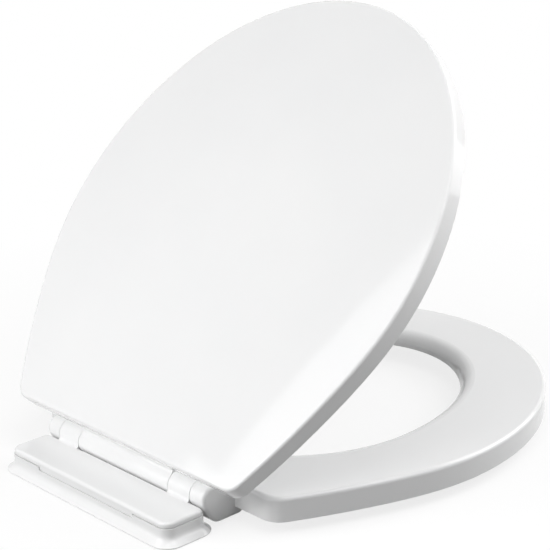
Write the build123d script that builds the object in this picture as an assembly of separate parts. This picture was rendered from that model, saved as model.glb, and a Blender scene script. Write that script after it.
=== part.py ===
from build123d import *
import os
from math import acos, atan2, cos, hypot, radians, sin, sqrt, tan

# Round-front toilet seat with a lid, on a slow-close hinge and a flared mounting base.
# Millimetres. The origin is midway between the two mounting bolts, on the bowl's rim.
# +Z is up, and the seat's front points along -Y. The lid stands part-way open.

# Plan of the lid, which the seat ring shares
PLAN_WIDTH = 364.0
PLAN_LENGTH = 392.0
REAR_TO_WIDEST = 182.5
REAR_EDGE_WIDTH = 245.0
SIDE_POWER = 1.7

# Hinge barrel: seat knuckle, post, lid knuckle, post, seat knuckle
HINGE_AHEAD_OF_BOLTS = 22.3
HINGE_ABOVE_PLATE_BOTTOM = 8.5
KNUCKLE_R = 10.2
LID_KNUCKLE_LENGTH = 104.0
POST_WIDTH = 23.2
SEAT_KNUCKLE_LENGTH = 15.0
SEAM_GAP = 0.4
KNUCKLE_END_FILLET = 3.0
LID_OPEN_DEG = 48.43

# Lid
LID_REAR_AHEAD_OF_HINGE = 5.8
LID_RIM_HEIGHT = 16.0
LID_WALL = 4.0
LID_SKIN = 3.6
LID_DOME_R = 4500.0
LID_EDGE_FILLET = 2.2
LID_CORNER_R = 14.0
LID_KNUCKLE_FAIRING_R = 3.5

# Seat ring
SEAT_REAR_AHEAD_OF_HINGE = 20.5
SEAT_THICKNESS = 19.5
SEAT_ABOVE_BOWL = 9.5
SEAT_TO_LID_GAP = 3.7
SEAT_CORNER_R = 17.0
SEAT_OUTER_FILLET = 3.2
SEAT_INNER_FILLET = 12.0
SEAT_SKIN = 4.0
SEAT_OUTER_WALL = 4.0
SEAT_LIP_WALL = 8.0
SEAT_LIP_HEIGHT = 12.6
SEAT_SIDE_BAND = 69.0
SEAT_FRONT_BAND = 66.0
SEAT_REAR_BAND = 30.2
HOLE_REAR_TO_WIDEST = 123.0
RIB_COUNT = 14
RIB_THICKNESS = 2.5
RIB_DEPTH = 8.0
ARM_ABOVE_BOWL = 1.5
ARM_HEEL_DEG = 33.0
ARM_HEEL_R = 11.0
ARM_FOOT_UNDER_SEAT = 4.0
ARM_ROOT_UNDER_SEAT = 14.0
ARM_ROOT_HEIGHT = 9.0

# Mounting base
BASE_LENGTH = 195.5
BASE_BEHIND_BOLTS = 29.8
BASE_BEHIND_HINGE = 0.7
BASE_HEIGHT = 13.1
BASE_FLARE = 5.6
BASE_FLARE_START = 8.0
BASE_FOOT_HEIGHT = 1.8
BASE_RIM_CORNER_R = 9.0
BASE_WALL = 2.6
BASE_FLOOR = 4.0
UPSTAND_INSET = 3.0
UPSTAND_WALL = 2.2
BOLT_SPACING = 139.7
BOLT_HOLE_R = 4.5

# Hinge body, a cover plate with two posts
SHADOW_GAP = 0.8
PLATE_THICKNESS = 4.0
PLATE_INSET = 0.5
PLATE_EDGE_FILLET = 2.4
POST_FOOT_FILLET = 3.0
KNUCKLE_TROUGH_GAP = 1.8
LOCATOR_DEPTH = 5.0
LOCATOR_WALL = 2.0
LOCATOR_GAP = 0.3
TONGUE_LENGTH = 109.0
TONGUE_DROP = 2.2
TONGUE_THICKNESS = 2.2
TONGUE_GAP = 0.4

# Slow-close dampers, which are the hinge's pivot pins
DAMPER_R = 6.5
CHAMBER_R = 5.0
SHAFT_R = 3.0
SHAFT_HALF_FLAT = 2.0
SHAFT_REACH = 12.0
DAMPER_END_WALL = 2.0
DAMPER_CAP_LENGTH = 4.0
SEAT_DAMPER_REACH = 30.0
LID_DAMPER_REACH = 12.0
KEY_WIDTH = 3.0
KEY_HEIGHT = 1.5
SEAL_SECTION_R = 0.95
RUNNING_CLEARANCE = 0.05

# Rubber bumpers
SEAT_BUMPER_R = 11.0
SEAT_BUMPER_FOOT_R = 9.0
LID_BUMPER_R = 8.0
LID_BUMPER_HEIGHT = 5.0
LID_BUMPER_GAP = 0.3
BUMPER_STEM_R = 3.5
BUMPER_STEM_LENGTH = 7.0
BUMPER_EDGE_FILLET = 1.2
FRONT_BUMPER_DEG = 36.0
REAR_BUMPER_AHEAD = 104.0

# Places worked out from the sizes above
PLATE_BOTTOM = BASE_HEIGHT + SHADOW_GAP
PLATE_TOP = PLATE_BOTTOM + PLATE_THICKNESS
HINGE_Y = -HINGE_AHEAD_OF_BOLTS
HINGE_HEIGHT = PLATE_BOTTOM + HINGE_ABOVE_PLATE_BOTTOM
HINGE_AXIS = Axis((0, HINGE_Y, HINGE_HEIGHT), (-1, 0, 0))
HALF_WIDTH = PLAN_WIDTH / 2
LID_REAR_Y = HINGE_Y - LID_REAR_AHEAD_OF_HINGE
SEAT_REAR_Y = HINGE_Y - SEAT_REAR_AHEAD_OF_HINGE
WIDEST_Y = LID_REAR_Y - REAR_TO_WIDEST
FRONT_Y = LID_REAR_Y - PLAN_LENGTH
SEAT_TOP = SEAT_ABOVE_BOWL + SEAT_THICKNESS
SEAT_LIP_Z = SEAT_TOP - SEAT_LIP_HEIGHT
LID_RIM_Z = SEAT_TOP + SEAT_TO_LID_GAP
LID_EDGE_Z = LID_RIM_Z + LID_RIM_HEIGHT
HOLE_HALF_WIDTH = HALF_WIDTH - SEAT_SIDE_BAND
HOLE_WIDEST_Y = SEAT_REAR_Y - SEAT_REAR_BAND - HOLE_REAR_TO_WIDEST
HOLE_FRONT_R = HOLE_WIDEST_Y - FRONT_Y - SEAT_FRONT_BAND
LID_KNUCKLE_END = LID_KNUCKLE_LENGTH / 2
POST_IN = LID_KNUCKLE_END + SEAM_GAP
POST_OUT = POST_IN + POST_WIDTH
KNUCKLE_IN = POST_OUT + SEAM_GAP
KNUCKLE_OUT = KNUCKLE_IN + SEAT_KNUCKLE_LENGTH
BASE_FRONT_Y = HINGE_Y + BASE_BEHIND_HINGE
TROUGH_R = KNUCKLE_R + KNUCKLE_TROUGH_GAP
BORE_R = DAMPER_R + RUNNING_CLEARANCE
LID_BUMPER_TOP = SEAT_TOP + LID_BUMPER_GAP + LID_BUMPER_HEIGHT


def side_half_width(ahead):
    """Half the plan's width at a distance ahead of the lid's rear edge, up to the widest place."""
    taper = HALF_WIDTH - REAR_EDGE_WIDTH / 2
    return HALF_WIDTH - taper * (1 - ahead / REAR_TO_WIDEST) ** SIDE_POWER


def side_slope(ahead):
    """How fast that half width grows, for each millimetre towards the front."""
    taper = HALF_WIDTH - REAR_EDGE_WIDTH / 2
    return taper * SIDE_POWER / REAR_TO_WIDEST * (1 - ahead / REAR_TO_WIDEST) ** (SIDE_POWER - 1)


def plan_face(rear_y, inset):
    """The plan: a straight rear edge, swelling sides and an elliptical front."""
    start = LID_REAR_Y - rear_y + inset
    middle = (start + REAR_TO_WIDEST) / 2
    rear_half = side_half_width(start) - inset
    middle_half = side_half_width(middle) - inset
    front_half = HALF_WIDTH - inset
    front_r = WIDEST_Y - FRONT_Y - inset
    side = Spline(
        (rear_half, rear_y - inset),
        (middle_half, LID_REAR_Y - middle),
        (front_half, WIDEST_Y),
        tangents=[(side_slope(start), -1), (0, -1)],
    )
    front = EllipticalCenterArc((0, WIDEST_Y), front_half, front_r, start_angle=180, arc_size=180)
    rear = Line((-rear_half, rear_y - inset), (rear_half, rear_y - inset))
    return make_face([side, front, mirror(side, Plane.YZ), rear])


def plan_block(rear_y, inset, corner_r, low, high):
    """The plan as an upright block with rounded rear corners."""
    block = Pos(0, 0, low) * extrude(plan_face(rear_y, inset), high - low)
    corners = block.edges().filter_by(Axis.Z).sort_by(Axis.Y)[-2:]
    return fillet(corners, corner_r)


def hole_block(outset, low, high):
    """The ring's opening, a long half ellipse to the front and a short one to the rear, as a block."""
    half = HOLE_HALF_WIDTH + outset
    centre = (0, HOLE_WIDEST_Y)
    front = EllipticalCenterArc(centre, half, HOLE_FRONT_R + outset, start_angle=180, arc_size=180)
    rear = EllipticalCenterArc(centre, half, HOLE_REAR_TO_WIDEST + outset, start_angle=0, arc_size=180)
    return Pos(0, 0, low) * extrude(make_face([front, rear]), high - low)


def along_x(sketch, start, end):
    """A sketch of the hinge's cross-section, with x to the back and y up, as a bar along X."""
    low, high = min(start, end), max(start, end)
    section = Plane((low, HINGE_Y, HINGE_HEIGHT), x_dir=(0, 1, 0), z_dir=(1, 0, 0))
    return extrude(section * sketch, high - low)


def rod(radius, start, end):
    """A round bar on the hinge axis."""
    return along_x(Circle(radius), start, end)


def flat_rod(radius, half_flat, start, end):
    """A round bar on the hinge axis with two flats."""
    return along_x(Circle(radius) & Rectangle(2 * radius, 2 * half_flat), start, end)


def section_box(back_low, back_high, up_low, up_high):
    """A rectangle in the hinge's cross-section."""
    middle = Pos((back_low + back_high) / 2, (up_low + up_high) / 2)
    return middle * Rectangle(back_high - back_low, up_high - up_low)


def upright(radius, place, low, high):
    """An upright round bar at a place in plan."""
    return Pos(place[0], place[1], low) * extrude(Circle(radius), high - low)


def opened(shape):
    """A piece of the closed lid, turned to where the lid stands."""
    return shape.rotate(HINGE_AXIS, LID_OPEN_DEG)


def bumper_places():
    """Where the bumpers sit, half-way between the ring's outline and its opening."""
    turn = radians(FRONT_BUMPER_DEG)
    outer_y = WIDEST_Y - (WIDEST_Y - FRONT_Y) * cos(turn)
    inner_y = HOLE_WIDEST_Y - HOLE_FRONT_R * cos(turn)
    front_x = (HALF_WIDTH + HOLE_HALF_WIDTH) / 2 * sin(turn)
    rear_y = LID_REAR_Y - REAR_BUMPER_AHEAD
    rear_reach = (rear_y - HOLE_WIDEST_Y) / HOLE_REAR_TO_WIDEST
    hole_half = HOLE_HALF_WIDTH * sqrt(1 - rear_reach**2)
    rear_x = (side_half_width(REAR_BUMPER_AHEAD) + hole_half) / 2
    places = {}
    for side, sign in (("right", 1), ("left", -1)):
        places[f"front_{side}"] = (sign * front_x, (outer_y + inner_y) / 2)
        places[f"rear_{side}"] = (sign * rear_x, rear_y)
    return places


def base_slab(inset, low, high):
    """A slab with the outline of the base's rim, drawn in by an inset."""
    length = BASE_LENGTH - 2 * (BASE_FLARE + inset)
    front = BASE_FRONT_Y + BASE_FLARE + inset
    back = BASE_BEHIND_BOLTS - BASE_FLARE - inset
    corner_r = max(BASE_RIM_CORNER_R - inset, BASE_RIM_CORNER_R / 5)
    outline = Pos(0, (front + back) / 2) * RectangleRounded(length, back - front, corner_r)
    return Pos(0, 0, low) * extrude(outline, high - low)


def base_frame(inset, wall, low, high):
    """An upright wall that follows the base's rim."""
    return base_slab(inset, low, high) - base_slab(inset + wall, low, high)


def flared_skirt():
    """The base's outer wall: upright at the rim, then a hollow curve out to a rounded foot."""
    path = base_slab(0, 0, BASE_HEIGHT).faces().sort_by(Axis.Z)[0].outer_wire()
    tangent = path % 0
    outward = tangent.cross(Vector(0, 0, 1))
    if outward.dot((path @ 0) - path.center()) < 0:
        outward = outward * -1
    section = Plane(path @ 0, x_dir=outward, z_dir=outward.cross(Vector(0, 0, 1)))
    neck = (0, BASE_FLARE_START)
    lip = (BASE_FLARE, BASE_FOOT_HEIGHT / 2)
    foot = (BASE_FLARE - BASE_FOOT_HEIGHT / 2, 0)
    profile = [
        Polyline(foot, (-BASE_WALL, 0), (-BASE_WALL, BASE_HEIGHT), (0, BASE_HEIGHT), neck),
        Spline(neck, lip, tangents=[(0, -1), (1, -1)]),
        JernArc(lip, (0, -1), BASE_FOOT_HEIGHT / 2, -90),
    ]
    return sweep(section * make_face(profile), path)


def bolt_places():
    """The two mounting bolts in plan."""
    return [(sign * BOLT_SPACING / 2, 0) for sign in (1, -1)]


def tongue(gap, low, high):
    """The snap tongue at the rear, or with a gap the notch that it drops into."""
    back = BASE_BEHIND_BOLTS - BASE_FLARE - PLATE_INSET
    front = back - TONGUE_THICKNESS - gap
    if gap:
        back += BASE_FLARE
    slab = Pos(0, (front + back) / 2) * Rectangle(TONGUE_LENGTH + 2 * gap, back - front)
    return Pos(0, 0, low) * extrude(slab, high - low)


def mounting_base():
    """The flared foot that bolts to the bowl, with an upstand that carries the hinge body."""
    base = flared_skirt() + base_slab(BASE_WALL / 2, 0, BASE_FLOOR)
    base += base_frame(UPSTAND_INSET, UPSTAND_WALL, 0, PLATE_BOTTOM)
    for place in bolt_places():
        base -= upright(BOLT_HOLE_R, place, 0, BASE_FLOOR)
    base -= tongue(TONGUE_GAP, BASE_HEIGHT - TONGUE_DROP - TONGUE_GAP, PLATE_BOTTOM)
    return base - rod(TROUGH_R, -BASE_LENGTH / 2, BASE_LENGTH / 2)


def key_section(clearance):
    """The key that stops a damper's case from turning in its post."""
    return section_box(
        -KEY_WIDTH / 2 - clearance,
        KEY_WIDTH / 2 + clearance,
        CHAMBER_R + clearance,
        DAMPER_R + KEY_HEIGHT + clearance,
    )


def post_section():
    """A post from the side: a round head on a leg, with a hollow curve at the rear of its foot."""
    floor = PLATE_BOTTOM - HINGE_HEIGHT
    top = PLATE_TOP - HINGE_HEIGHT
    curve = POST_FOOT_FILLET
    foot = section_box(KNUCKLE_R, KNUCKLE_R + curve, top, top + curve)
    foot -= Pos(KNUCKLE_R + curve, top + curve) * Circle(curve)
    below = section_box(-KNUCKLE_R, KNUCKLE_R, floor - KNUCKLE_R, floor)
    return Circle(KNUCKLE_R) + section_box(0, KNUCKLE_R, floor, 0) + foot - below


def hinge_body():
    """The cover plate with its two posts, bored for the dampers."""
    plate = base_slab(PLATE_INSET, PLATE_BOTTOM, PLATE_TOP)
    plate = fillet(plate.faces().sort_by(Axis.Z)[-1].edges(), PLATE_EDGE_FILLET)
    plate -= rod(TROUGH_R, -POST_IN, POST_IN)
    for sign in (1, -1):
        plate -= rod(TROUGH_R, sign * POST_OUT, sign * BASE_LENGTH / 2)
        plate += along_x(post_section(), sign * POST_IN, sign * POST_OUT)
    inset = UPSTAND_INSET + UPSTAND_WALL + LOCATOR_GAP
    body = plate + base_frame(inset, LOCATOR_WALL, PLATE_BOTTOM - LOCATOR_DEPTH, PLATE_BOTTOM)
    body += tongue(0, BASE_HEIGHT - TONGUE_DROP, PLATE_BOTTOM)
    for sign in (1, -1):
        body -= rod(BORE_R, sign * POST_IN, sign * POST_OUT)
        body -= along_x(key_section(RUNNING_CLEARANCE), sign * POST_IN, sign * POST_OUT)
    return body


def upper_tangent(point):
    """Where a line from a point ahead of the barrel touches the top of it."""
    turn = atan2(point[1], -point[0]) + acos(KNUCKLE_R / hypot(*point))
    return (-KNUCKLE_R * cos(turn), KNUCKLE_R * sin(turn))


def arm_section():
    """An arm from the side: a knuckle, a heel below it, and a foot that reaches under the seat."""
    slope = radians(ARM_HEEL_DEG)
    wall = -SEAT_REAR_AHEAD_OF_HINGE
    floor = ARM_ABOVE_BOWL - HINGE_HEIGHT
    seat_bottom = SEAT_ABOVE_BOWL - HINGE_HEIGHT
    back = (KNUCKLE_R * cos(slope), -KNUCKLE_R * sin(slope))
    heel = (back[0] - (back[1] - floor) * tan(slope), floor)
    toe = (wall - ARM_FOOT_UNDER_SEAT, floor)
    root = wall - ARM_ROOT_UNDER_SEAT
    high = (wall - SEAT_OUTER_WALL / 2, SEAT_TOP - SEAT_OUTER_FILLET - HINGE_HEIGHT)
    outline = Polyline(
        back,
        heel,
        toe,
        (root, seat_bottom),
        (root, seat_bottom + ARM_ROOT_HEIGHT),
        high,
        upper_tangent(high),
        (0, 0),
        close=True,
    )
    section = Circle(KNUCKLE_R) + make_face(outline)
    heel_corner = section.vertices().sort_by_distance(heel)[0]
    return fillet(heel_corner, ARM_HEEL_R)


def seat_arm(sign):
    """One hinge arm of the seat, with its outer end rounded."""
    arm = along_x(arm_section(), sign * KNUCKLE_IN, sign * KNUCKLE_OUT)
    ends = arm.faces().filter_by(Plane.YZ).sort_by(Axis.X)
    outer_end = ends[-1] if sign > 0 else ends[0]
    return fillet(outer_end.edges().filter_by(GeomType.CIRCLE), KNUCKLE_END_FILLET)


def seat_ribs():
    """Radial ribs that stiffen the ring's hollow underside."""
    low = SEAT_TOP - SEAT_SKIN - RIB_DEPTH
    ribs = []
    for turn in range(RIB_COUNT):
        bar = Pos(PLAN_LENGTH / 2, 0) * Rectangle(PLAN_LENGTH, RIB_THICKNESS)
        angle = 360 / RIB_COUNT * (turn + 0.5)
        rib = extrude(bar, RIB_DEPTH + SEAT_SKIN / 2)
        ribs.append(Pos(0, HOLE_WIDEST_Y, low) * Rot(0, 0, angle) * rib)
    return ribs


def seat_ring():
    """The seat: a ring that rolls into its opening, hollow from below, with two hinge arms."""
    ring = plan_block(SEAT_REAR_Y, 0, SEAT_CORNER_R, SEAT_ABOVE_BOWL, SEAT_TOP)
    ring = fillet(ring.faces().sort_by(Axis.Z)[-1].edges(), SEAT_OUTER_FILLET)
    ring -= hole_block(0, SEAT_ABOVE_BOWL, SEAT_TOP)
    top_face = ring.faces().filter_by(Plane.XY).sort_by(Axis.Z)[-1]
    ring = fillet(top_face.inner_wires()[0].edges(), SEAT_INNER_FILLET)
    ceiling = SEAT_TOP - SEAT_SKIN
    corner_r = SEAT_CORNER_R - SEAT_OUTER_WALL
    channel = plan_block(SEAT_REAR_Y, SEAT_OUTER_WALL, corner_r, SEAT_ABOVE_BOWL, ceiling)
    channel -= hole_block(SEAT_LIP_WALL, SEAT_LIP_Z, ceiling)
    for rib in seat_ribs():
        channel -= rib
    for place in BUMPER_PLACES.values():
        channel -= upright(SEAT_BUMPER_R, place, SEAT_ABOVE_BOWL, ceiling)
    ring -= channel
    for place in BUMPER_PLACES.values():
        ring -= upright(BUMPER_STEM_R, place, SEAT_ABOVE_BOWL, SEAT_ABOVE_BOWL + BUMPER_STEM_LENGTH)
    for sign in (1, -1):
        ring += seat_arm(sign)
    ring -= flat_rod(
        SHAFT_R + RUNNING_CLEARANCE,
        SHAFT_HALF_FLAT + RUNNING_CLEARANCE,
        KNUCKLE_IN,
        KNUCKLE_IN + SHAFT_REACH,
    )
    return ring - rod(BORE_R, -KNUCKLE_IN, -KNUCKLE_IN - LID_DAMPER_REACH)


def dome(drop):
    """A very large ball whose crown is the lid's domed face, lowered by a drop."""
    crown = LID_EDGE_Z + HALF_WIDTH**2 / (2 * LID_DOME_R)
    centre = Pos(0, (LID_REAR_Y + FRONT_Y) / 2, crown - LID_DOME_R)
    return centre * Rot(90, 0, 0) * Sphere(LID_DOME_R - drop)


def lid_knuckle_section():
    """The lid's knuckle from the side, with a web up to the lid's rear wall and a hollow curve behind it."""
    back = -LID_REAR_AHEAD_OF_HINGE
    rim = LID_RIM_Z - HINGE_HEIGHT
    curve = LID_KNUCKLE_FAIRING_R
    reach = KNUCKLE_R + curve
    centre = (back + curve, sqrt(reach**2 - (back + curve) ** 2))
    touch = centre[0] * KNUCKLE_R / reach
    fairing = section_box(back, touch, 0, centre[1]) - Pos(*centre) * Circle(curve)
    web = section_box(back - LID_WALL, back, 0, rim + LID_WALL)
    return Circle(KNUCKLE_R) + web + fairing


def lid():
    """The closed lid: a domed shell with a rim, and a long knuckle under its rear edge."""
    high = LID_EDGE_Z + LID_RIM_HEIGHT
    shell = plan_block(LID_REAR_Y, 0, LID_CORNER_R, LID_RIM_Z, high) & dome(0)
    crown = shell.faces().sort_by(Axis.Z)[-1]
    shell = fillet(crown.edges(), LID_EDGE_FILLET)
    hollow = plan_block(LID_REAR_Y, LID_WALL, LID_CORNER_R - LID_WALL, LID_RIM_Z, high) & dome(LID_SKIN)
    for side in ("right", "left"):
        hollow -= upright(LID_BUMPER_R, BUMPER_PLACES[f"front_{side}"], LID_BUMPER_TOP, high)
    shell -= hollow
    for side in ("right", "left"):
        place = BUMPER_PLACES[f"front_{side}"]
        shell -= upright(BUMPER_STEM_R, place, LID_BUMPER_TOP, LID_BUMPER_TOP + BUMPER_STEM_LENGTH)
    shell += along_x(lid_knuckle_section(), -LID_KNUCKLE_END, LID_KNUCKLE_END)
    shell -= rod(BORE_R, LID_KNUCKLE_END - SEAT_DAMPER_REACH, LID_KNUCKLE_END)
    return shell - flat_rod(
        SHAFT_R + RUNNING_CLEARANCE,
        SHAFT_HALF_FLAT + RUNNING_CLEARANCE,
        -LID_KNUCKLE_END,
        -LID_KNUCKLE_END + SHAFT_REACH,
    )


def damper(name, closed_end, mouth, key_start, key_end):
    """A slow-close damper on the hinge axis, with its shaft coming out of the mouth."""
    way = 1 if mouth > closed_end else -1
    chamber_start = closed_end + way * DAMPER_END_WALL
    cap_start = mouth - way * DAMPER_CAP_LENGTH
    seal_x = cap_start - way * (SEAL_SECTION_R + RUNNING_CLEARANCE)
    drum_end = seal_x - way * (SEAL_SECTION_R + RUNNING_CLEARANCE)
    drum_r = CHAMBER_R - RUNNING_CLEARANCE
    case = rod(DAMPER_R, closed_end, mouth) + along_x(key_section(0), key_start, key_end)
    case -= rod(CHAMBER_R, chamber_start, mouth)
    cap = rod(drum_r, cap_start, mouth) - rod(SHAFT_R + RUNNING_CLEARANCE, cap_start, mouth)
    seal_r = SHAFT_R + RUNNING_CLEARANCE + SEAL_SECTION_R
    around_shaft = Plane((seal_x, HINGE_Y, HINGE_HEIGHT), z_dir=(1, 0, 0))
    rotor = rod(drum_r, chamber_start + way * RUNNING_CLEARANCE, drum_end)
    rotor += rod(SHAFT_R, drum_end, mouth)
    tip = mouth + way * (SEAM_GAP + SHAFT_REACH - RUNNING_CLEARANCE)
    rotor += flat_rod(SHAFT_R, SHAFT_HALF_FLAT, mouth, tip)
    return {
        f"{name}_case": case,
        f"{name}_cap": cap,
        f"{name}_seal": around_shaft * Torus(seal_r, SEAL_SECTION_R),
        f"{name}_rotor": rotor,
    }


def seat_bumper(place):
    """A rubber foot under the seat, with a stem that plugs into the ring."""
    foot = Cone(SEAT_BUMPER_FOOT_R, SEAT_BUMPER_R, SEAT_ABOVE_BOWL)
    foot = Pos(place[0], place[1], SEAT_ABOVE_BOWL / 2) * foot
    foot = fillet(foot.edges().filter_by(GeomType.CIRCLE).sort_by(Axis.Z)[0], BUMPER_EDGE_FILLET)
    stem_top = SEAT_ABOVE_BOWL + BUMPER_STEM_LENGTH - RUNNING_CLEARANCE
    return foot + upright(BUMPER_STEM_R - RUNNING_CLEARANCE, place, SEAT_ABOVE_BOWL, stem_top)


def lid_bumper(place):
    """A rubber button under the closed lid, with a stem that plugs into the lid."""
    low = LID_BUMPER_TOP - LID_BUMPER_HEIGHT
    button = upright(LID_BUMPER_R, place, low, LID_BUMPER_TOP)
    button = fillet(button.faces().sort_by(Axis.Z)[0].edges(), BUMPER_EDGE_FILLET)
    stem_top = LID_BUMPER_TOP + BUMPER_STEM_LENGTH - RUNNING_CLEARANCE
    return button + upright(BUMPER_STEM_R - RUNNING_CLEARANCE, place, LID_BUMPER_TOP, stem_top)


BUMPER_PLACES = bumper_places()

nodes = {
    "mounting_base": mounting_base(),
    "hinge_body": hinge_body(),
    "seat_ring": seat_ring(),
    "lid": opened(lid()),
}
for end, place in BUMPER_PLACES.items():
    nodes[f"seat_bumper_{end}"] = seat_bumper(place)
for side in ("right", "left"):
    nodes[f"lid_bumper_{side}"] = opened(lid_bumper(BUMPER_PLACES[f"front_{side}"]))

seat_damper = damper("seat_damper", POST_IN - SEAT_DAMPER_REACH, POST_OUT, POST_IN, POST_OUT)
lid_damper = damper("lid_damper", -POST_OUT - LID_DAMPER_REACH, -POST_IN, -POST_IN, -POST_OUT)
lid_damper["lid_damper_rotor"] = opened(lid_damper["lid_damper_rotor"])
nodes.update(seat_damper)
nodes.update(lid_damper)

os.makedirs("parts", exist_ok=True)
for name, solid in nodes.items():
    export_step(solid, f"parts/{name}.step")
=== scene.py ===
import math

import bpy
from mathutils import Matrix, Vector


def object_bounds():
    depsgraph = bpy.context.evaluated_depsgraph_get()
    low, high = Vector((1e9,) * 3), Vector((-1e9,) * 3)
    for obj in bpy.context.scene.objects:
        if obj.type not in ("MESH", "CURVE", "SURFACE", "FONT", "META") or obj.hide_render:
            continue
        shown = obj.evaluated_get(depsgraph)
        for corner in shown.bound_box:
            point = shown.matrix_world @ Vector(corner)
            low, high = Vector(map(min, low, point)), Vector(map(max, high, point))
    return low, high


# A white gloss toilet seat with its lid half open, on a plain white floor.
# Lengths are in metres, angles in degrees and lamp powers in watts.

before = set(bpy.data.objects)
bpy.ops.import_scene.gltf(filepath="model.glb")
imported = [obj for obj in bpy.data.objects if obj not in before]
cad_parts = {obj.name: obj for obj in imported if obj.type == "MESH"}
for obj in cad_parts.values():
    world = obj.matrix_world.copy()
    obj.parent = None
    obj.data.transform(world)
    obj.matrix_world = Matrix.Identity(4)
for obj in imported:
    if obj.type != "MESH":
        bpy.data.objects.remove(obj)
cad_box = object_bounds()

# Camera, at the photograph's view
CAMERA_AZIMUTH = 225.79
CAMERA_ELEVATION = 19.41
CAMERA_LENS = 117.38
CAMERA_PLACE = (-0.9540, 0.7559, 0.6022)

# White surround, where a strength of 1 is white
WHITE = (1.0, 1.0, 1.0, 1.0)
WHITE_STRENGTH = 1.0

# Floor: its grey for bounced light, its white where it is seen, and the share of real shadow near the object
FLOOR_DROP = 0.0003
FLOOR_SIZE = 12.0
FLOOR_BOUNCE = 0.30
FLOOR_WHITE = 0.97
FLOOR_ROUGHNESS = 0.9
FLOOR_SHADE = 0.20
SHADE_FULL = 0.25
SHADE_GONE = 0.55

# Soft light: panels round the object, each at its azimuth and height angle and turned to one point
LAMP_TARGET = (0.0, -0.18, 0.12)
LAMPS = {
    "back_panel": {"azimuth": 155.0, "rise": 40.0, "away": 2.2, "width": 1.22, "height": 1.5, "power": 11.8},
    "low_panel": {"azimuth": 165.0, "rise": 12.0, "away": 1.2, "width": 1.1, "height": 0.8, "power": 5.1},
    "near_low": {"azimuth": 180.0, "rise": 22.0, "away": 0.9, "width": 0.5, "height": 0.4, "power": 1.0},
    "near_high": {"azimuth": 195.0, "rise": 40.0, "away": 0.9, "width": 0.5, "height": 0.5, "power": 0.8},
    "top_panel": {"azimuth": 180.0, "rise": 85.0, "away": 2.0, "width": 1.2, "height": 1.2, "power": 3.5},
    "right_high": {"azimuth": -90.0, "rise": 65.0, "away": 2.2, "width": 1.6, "height": 1.6, "power": 13.7},
    "right_side": {"azimuth": -75.0, "rise": 45.0, "away": 2.2, "width": 1.1, "height": 1.1, "power": 6.6},
    "front_high": {"azimuth": -20.0, "rise": 35.0, "away": 2.2, "width": 1.6, "height": 1.4, "power": 22.5},
    "front_wide": {"azimuth": -30.0, "rise": 20.0, "away": 2.2, "width": 2.0, "height": 1.6, "power": 14.5},
}

# Finishes: the part of a noise texture's range that is used, and what is the same all over a surface
NOISE_LOW = 0.3
NOISE_HIGH = 0.7
PLASTIC_IOR = 1.5
BUMPER_SCATTER = 0.25
BUMPER_SCATTER_REACH = (0.004, 0.004, 0.004)


def new_material(name):
    """A node material with its node tree and its shader."""
    material = bpy.data.materials.new(name)
    material.use_nodes = True
    tree = material.node_tree
    return material, tree, tree.nodes["Principled BSDF"]


def noise(tree, scale, detail, roughness):
    """A noise texture in the object's own coordinates."""
    place = tree.nodes.new("ShaderNodeTexCoord")
    texture = tree.nodes.new("ShaderNodeTexNoise")
    texture.inputs["Scale"].default_value = scale
    texture.inputs["Detail"].default_value = detail
    texture.inputs["Roughness"].default_value = roughness
    tree.links.new(place.outputs["Object"], texture.inputs["Vector"])
    return texture.outputs["Fac"]


def between(tree, value, start, end, low, high):
    """A number that goes from low to high as a value goes from start to end."""
    spread = tree.nodes.new("ShaderNodeMapRange")
    spread.inputs["From Min"].default_value = start
    spread.inputs["From Max"].default_value = end
    spread.inputs["To Min"].default_value = low
    spread.inputs["To Max"].default_value = high
    tree.links.new(value, spread.inputs["Value"])
    return spread.outputs["Result"]


def tones(tree, texture, dark, light):
    """A colour that follows a texture from dark to light."""
    ramp = tree.nodes.new("ShaderNodeValToRGB")
    ramp.color_ramp.elements[0].position = NOISE_LOW
    ramp.color_ramp.elements[0].color = (*dark, 1)
    ramp.color_ramp.elements[1].position = NOISE_HIGH
    ramp.color_ramp.elements[1].color = (*light, 1)
    tree.links.new(texture, ramp.inputs["Fac"])
    return ramp.outputs["Color"]


def bump(tree, height, distance, strength, under=None):
    """A bump normal from a height texture, on top of another if one is given."""
    node = tree.nodes.new("ShaderNodeBump")
    node.inputs["Distance"].default_value = distance
    node.inputs["Strength"].default_value = strength
    tree.links.new(height, node.inputs["Height"])
    if under:
        tree.links.new(under, node.inputs["Normal"])
    return node.outputs["Normal"]


def finish_surface(tree, shader, colour, texture, smooth, rough, normal):
    """Gives a shader its colour, a roughness that follows a texture, and its normal."""
    tree.links.new(colour, shader.inputs["Base Color"])
    roughness = between(tree, texture, start=NOISE_LOW, end=NOISE_HIGH, low=smooth, high=rough)
    tree.links.new(roughness, shader.inputs["Roughness"])
    tree.links.new(normal, shader.inputs["Normal"])


def white_plastic():
    """Gloss white moulded plastic: a faint flow of tone, soft moulding waves and fine polish marks."""
    material, tree, shader = new_material("white_plastic")
    flow = noise(tree, scale=9.0, detail=2.0, roughness=0.5)
    polish = noise(tree, scale=420.0, detail=3.0, roughness=0.6)
    waves = noise(tree, scale=55.0, detail=1.0, roughness=0.4)
    colour = tones(tree, flow, dark=(0.885, 0.888, 0.890), light=(0.905, 0.906, 0.906))
    soft = bump(tree, waves, distance=0.0002, strength=0.05)
    fine = bump(tree, polish, distance=0.00003, strength=0.10, under=soft)
    finish_surface(tree, shader, colour, polish, smooth=0.04, rough=0.065, normal=fine)
    shader.inputs["IOR"].default_value = PLASTIC_IOR
    return material


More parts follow.
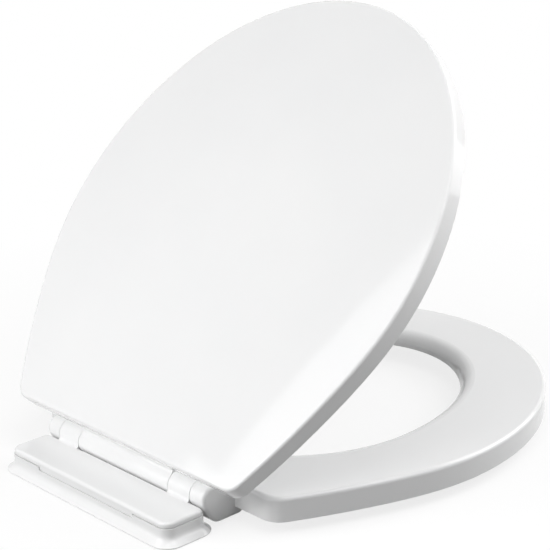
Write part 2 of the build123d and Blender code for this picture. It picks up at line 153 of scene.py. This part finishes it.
def damper_plastic():
    """Grey glass-filled plastic of the damper cases, caps and rotors."""
    material, tree, shader = new_material("damper_plastic")
    grain = noise(tree, scale=700.0, detail=4.0, roughness=0.6)
    colour = tones(tree, grain, dark=(0.30, 0.31, 0.32), light=(0.40, 0.41, 0.42))
    fine = bump(tree, grain, distance=0.00008, strength=0.3)
    finish_surface(tree, shader, colour, grain, smooth=0.42, rough=0.6, normal=fine)
    return material


def seal_rubber():
    """Black nitrile rubber of the damper seals."""
    material, tree, shader = new_material("seal_rubber")
    grain = noise(tree, scale=1500.0, detail=3.0, roughness=0.6)
    colour = tones(tree, grain, dark=(0.012, 0.012, 0.012), light=(0.03, 0.03, 0.03))
    fine = bump(tree, grain, distance=0.00003, strength=0.3)
    finish_surface(tree, shader, colour, grain, smooth=0.45, rough=0.6, normal=fine)
    return material


def bumper_rubber():
    """Milky soft rubber of the bumpers, matt and slightly see-through at the surface."""
    material, tree, shader = new_material("bumper_rubber")
    cloud = noise(tree, scale=160.0, detail=3.0, roughness=0.55)
    grain = noise(tree, scale=1800.0, detail=2.0, roughness=0.6)
    colour = tones(tree, cloud, dark=(0.72, 0.73, 0.72), light=(0.80, 0.80, 0.79))
    fine = bump(tree, grain, distance=0.00004, strength=0.35)
    finish_surface(tree, shader, colour, grain, smooth=0.5, rough=0.68, normal=fine)
    shader.inputs["Subsurface Weight"].default_value = BUMPER_SCATTER
    shader.inputs["Subsurface Radius"].default_value = BUMPER_SCATTER_REACH
    return material


def dress_nodes():
    """Gives each of the solids its finish."""
    finishes = {
        "white": white_plastic(),
        "damper": damper_plastic(),
        "seal": seal_rubber(),
        "bumper": bumper_rubber(),
    }
    for name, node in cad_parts.items():
        if "seal" in name:
            finish = finishes["seal"]
        elif "damper" in name:
            finish = finishes["damper"]
        elif "bumper" in name:
            finish = finishes["bumper"]
        else:
            finish = finishes["white"]
        node.data.materials.clear()
        node.data.materials.append(finish)


def white_when_seen(tree, lit, seen):
    """Mixes two shaders: one for what the camera and reflections see, one for the light that bounces."""
    path = tree.nodes.new("ShaderNodeLightPath")
    mirror = tree.nodes.new("ShaderNodeMath")
    mirror.operation = "MAXIMUM"
    glass = tree.nodes.new("ShaderNodeMath")
    glass.operation = "MAXIMUM"
    mix = tree.nodes.new("ShaderNodeMixShader")
    tree.links.new(path.outputs["Is Camera Ray"], mirror.inputs[0])
    tree.links.new(path.outputs["Is Glossy Ray"], mirror.inputs[1])
    tree.links.new(mirror.outputs[0], glass.inputs[0])
    tree.links.new(path.outputs["Is Transmission Ray"], glass.inputs[1])
    tree.links.new(glass.outputs[0], mix.inputs["Fac"])
    tree.links.new(lit, mix.inputs[1])
    tree.links.new(seen, mix.inputs[2])
    return mix.outputs[0]


def make_world():
    """A surround that is seen as white and adds no light of its own."""
    world = bpy.data.worlds.new("studio")
    bpy.context.scene.world = world
    world.use_nodes = True
    tree = world.node_tree
    seen = tree.nodes["Background"]
    seen.inputs["Color"].default_value = WHITE
    seen.inputs["Strength"].default_value = WHITE_STRENGTH
    unlit = tree.nodes.new("ShaderNodeBackground")
    unlit.inputs["Strength"].default_value = 0.0
    mixed = white_when_seen(tree, unlit.outputs[0], seen.outputs[0])
    tree.links.new(mixed, tree.nodes["World Output"].inputs["Surface"])


def floor_material():
    """White where it is seen, with part of the real shadow near the object, and grey for bounced light."""
    material, tree, shader = new_material("floor")
    shader.inputs["Base Color"].default_value = (FLOOR_WHITE, FLOOR_WHITE, FLOOR_WHITE, 1)
    shader.inputs["Roughness"].default_value = FLOOR_ROUGHNESS
    shader.inputs["Specular IOR Level"].default_value = 0.0
    bounce = tree.nodes.new("ShaderNodeBsdfDiffuse")
    bounce.inputs["Color"].default_value = (FLOOR_BOUNCE, FLOOR_BOUNCE, FLOOR_BOUNCE, 1)
    white = tree.nodes.new("ShaderNodeEmission")
    white.inputs["Color"].default_value = WHITE
    white.inputs["Strength"].default_value = WHITE_STRENGTH
    place = tree.nodes.new("ShaderNodeTexCoord")
    away = tree.nodes.new("ShaderNodeVectorMath")
    away.operation = "LENGTH"
    tree.links.new(place.outputs["Object"], away.inputs[0])
    share = between(tree, away.outputs["Value"], start=SHADE_FULL, end=SHADE_GONE, low=FLOOR_SHADE, high=0.0)
    shaded = tree.nodes.new("ShaderNodeMixShader")
    tree.links.new(share, shaded.inputs["Fac"])
    tree.links.new(white.outputs[0], shaded.inputs[1])
    tree.links.new(shader.outputs[0], shaded.inputs[2])
    mixed = white_when_seen(tree, bounce.outputs[0], shaded.outputs[0])
    tree.links.new(mixed, tree.nodes["Material Output"].inputs["Surface"])
    return material


def make_floor():
    """A plain white floor that keeps the object's shadow."""
    low, high = cad_box
    half = FLOOR_SIZE / 2
    mesh = bpy.data.meshes.new("floor")
    corners = [(-half, -half, 0), (half, -half, 0), (half, half, 0), (-half, half, 0)]
    mesh.from_pydata(corners, [], [(0, 1, 2, 3)])
    mesh.materials.append(floor_material())
    floor = bpy.data.objects.new("floor", mesh)
    floor.location = (0, (low[1] + high[1]) / 2, low[2] - FLOOR_DROP)
    bpy.context.scene.collection.objects.link(floor)


def direction(azimuth, rise):
    """The way from the object to a place round it, with the camera's angles."""
    turn = math.radians(azimuth)
    climb = math.radians(rise)
    return Vector((
        math.sin(turn) * math.cos(climb),
        -math.cos(turn) * math.cos(climb),
        math.sin(climb),
    ))


def turn_from(thing, way):
    """Turns a lamp or camera to look against a direction, with its top up."""
    thing.rotation_mode = "QUATERNION"
    thing.rotation_quaternion = (-way).to_track_quat("-Z", "Y")


def make_lamps():
    """Large soft panels, each turned to the object."""
    for name, lamp in LAMPS.items():
        way = direction(lamp["azimuth"], lamp["rise"])
        data = bpy.data.lights.new(name, "AREA")
        data.shape = "RECTANGLE"
        data.size = lamp["width"]
        data.size_y = lamp["height"]
        data.energy = lamp["power"]
        light = bpy.data.objects.new(name, data)
        light.location = Vector(LAMP_TARGET) + way * lamp["away"]
        turn_from(light, way)
        bpy.context.scene.collection.objects.link(light)


def make_camera():
    """The photograph's camera."""
    data = bpy.data.cameras.new("camera")
    data.lens = CAMERA_LENS
    camera = bpy.data.objects.new("camera", data)
    camera.location = CAMERA_PLACE
    turn_from(camera, direction(CAMERA_AZIMUTH, CAMERA_ELEVATION))
    bpy.context.scene.collection.objects.link(camera)
    bpy.context.scene.camera = camera


bpy.context.scene.view_settings.view_transform = "Standard"
dress_nodes()
make_world()
make_floor()
make_lamps()
make_camera()
